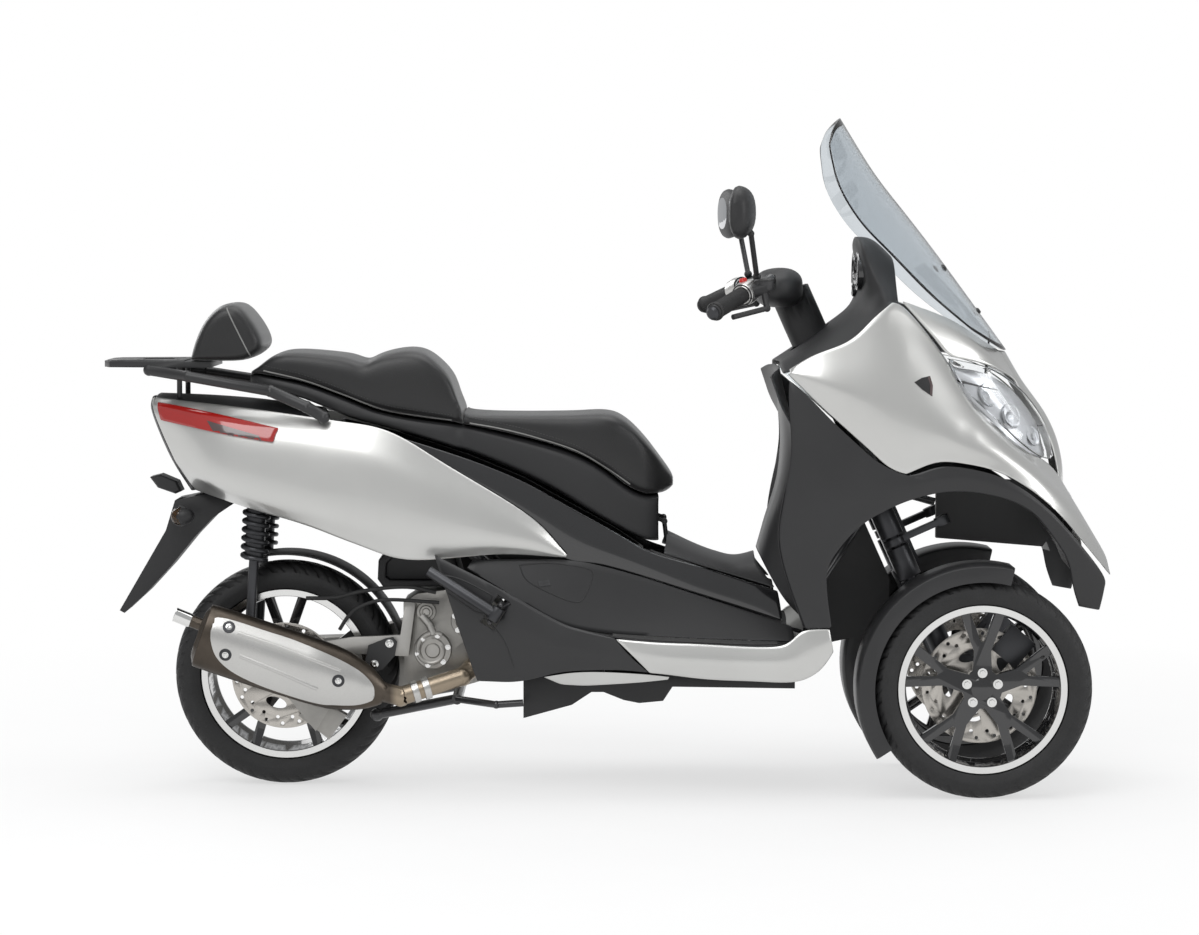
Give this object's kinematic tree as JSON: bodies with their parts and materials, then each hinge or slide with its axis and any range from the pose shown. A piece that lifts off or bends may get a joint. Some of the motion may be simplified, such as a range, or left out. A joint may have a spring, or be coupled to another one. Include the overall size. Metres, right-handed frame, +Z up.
{
  "type": "three-wheel motor scooter",
  "caption": "Step-through motor scooter with a steered pair of front wheels, one driven rear wheel, stepped dual seat with backrest, tall windscreen and rear rack.",
  "frame": {"origin": "on the ground below the middle of the machine", "axes": "+X forward, +Y to the rider's left, +Z up"},
  "size_m": [2.25, 0.792, 1.512],
  "materials": {
    "silver_paint": "metallic paint",
    "dark_plastic": "satin",
    "black_gloss": "gloss",
    "black_plastic": "matte",
    "frame_paint": "satin paint",
    "cast_metal": "as cast",
    "dark_metal": "satin paint",
    "exhaust_metal": "heat tinted",
    "shield_metal": "brushed",
    "disc_steel": "ground",
    "rubber": "matte",
    "lamp_clear": "clear",
    "lamp_red": "gloss",
    "screen_tint": "clear, lightly tinted",
    "seat_cover": "grained"
  },
  "bodies": {
    "chassis": {"frame_head": "frame_paint", "frame_cradle": "frame_paint", "frame_rear_right": "frame_paint", "frame_rear_left": "frame_paint", "tilt_linkage": "cast_metal", "front_fairing": "silver_paint", "nose_hood": "silver_paint", "arch_panels": "dark_plastic", "arch_liner": "black_plastic", "front_grille": "black_plastic", "headlamps": "lamp_clear", "windscreen": "screen_tint", "dashboard": "black_plastic", "leg_shield": "dark_plastic", "tunnel_cover": "dark_plastic", "tunnel_sides": "dark_plastic", "seat_surround": "black_gloss", "footboards": "black_plastic", "sills": "silver_paint", "belly_panels": "dark_plastic", "under_tray": "black_plastic", "tail_panels": "silver_paint", "tail_cover": "dark_plastic", "tail_lamps": "lamp_red", "rack": "dark_metal", "backrest": "seat_cover", "underseat_tub": "black_plastic", "engine": "cast_metal", "transmission": "cast_metal", "rear_arm": "cast_metal", "rear_shocks": "dark_metal", "exhaust": "exhaust_metal", "muffler_shield": "shield_metal", "air_box": "black_plastic", "rear_hugger": "black_plastic", "plate_bracket": "black_plastic"},
    "handlebar": {"handlebar": "dark_metal", "handlebar_cover": "black_plastic", "controls": "dark_plastic", "mirrors": "dark_plastic"},
    "knuckle_right": {"knuckle_right": "dark_metal", "mudguard_right": "dark_plastic"},
    "knuckle_left": {"knuckle_left": "dark_metal", "mudguard_left": "dark_plastic"},
    "wheel_front_right": {"tyre_front_right": "rubber", "rim_front_right": "dark_metal", "disc_front_right": "disc_steel"},
    "wheel_front_left": {"tyre_front_left": "rubber", "rim_front_left": "dark_metal", "disc_front_left": "disc_steel"},
    "wheel_rear": {"tyre_rear": "rubber", "rim_rear": "dark_metal", "disc_rear": "disc_steel"},
    "seat": {"seat_base": "black_plastic", "rider_seat": "seat_cover", "passenger_seat": "seat_cover"},
    "centre_stand": {"centre_stand": "frame_paint"},
    "footpeg_right": {"footpeg_right": "dark_metal"},
    "footpeg_left": {"footpeg_left": "dark_metal"}
  },
  "joints": [
    {"name": "steering", "type": "hinge", "parent": "chassis", "child": "handlebar", "pos_m": [0.423, 0, 1.12], "axis": [-0.4067, 0, 0.9135], "range_deg": [-35, 35]},
    {"name": "kingpin_right", "type": "hinge", "parent": "chassis", "child": "knuckle_right", "pos_m": [0.795, -0.135, 0.245], "axis": [-0.4067, 0, 0.9135], "range_deg": [-36, 36]},
    {"name": "kingpin_left", "type": "hinge", "parent": "chassis", "child": "knuckle_left", "pos_m": [0.795, 0.135, 0.245], "axis": [-0.4067, 0, 0.9135], "range_deg": [-36, 36]},
    {"name": "front_right_spin", "type": "hinge", "parent": "knuckle_right", "child": "wheel_front_right", "pos_m": [0.839, -0.232, 0.245], "axis": [0, 1, 0], "continuous": true},
    {"name": "front_left_spin", "type": "hinge", "parent": "knuckle_left", "child": "wheel_front_left", "pos_m": [0.839, 0.232, 0.245], "axis": [0, 1, 0], "continuous": true},
    {"name": "rear_spin", "type": "hinge", "parent": "chassis", "child": "wheel_rear", "pos_m": [-0.721, 0, 0.254], "axis": [0, 1, 0], "continuous": true},
    {"name": "seat_hinge", "type": "hinge", "parent": "chassis", "child": "seat", "pos_m": [0.138, 0, 0.602], "axis": [0, 1, 0], "range_deg": [0, 60]},
    {"name": "stand_pivot", "type": "hinge", "parent": "chassis", "child": "centre_stand", "pos_m": [-0.33, 0, 0.205], "axis": [0, -1, 0], "range_deg": [0, 70], "stiffness_Nm_per_rad": 3, "springref_deg": -51.57},
    {"name": "footpeg_right_fold", "type": "hinge", "parent": "chassis", "child": "footpeg_right", "pos_m": [-0.24, -0.258, 0.412], "axis": [0.5361, 0, 0.8442], "range_deg": [0, 80]},
    {"name": "footpeg_left_fold", "type": "hinge", "parent": "chassis", "child": "footpeg_left", "pos_m": [-0.24, 0.258, 0.412], "axis": [-0.5361, 0, -0.8442], "range_deg": [0, 80]}
  ],
  "couplings": [
    {"joint": "kingpin_right", "follows": "steering", "ratio": 1},
    {"joint": "kingpin_left", "follows": "steering", "ratio": 1}
  ]
}
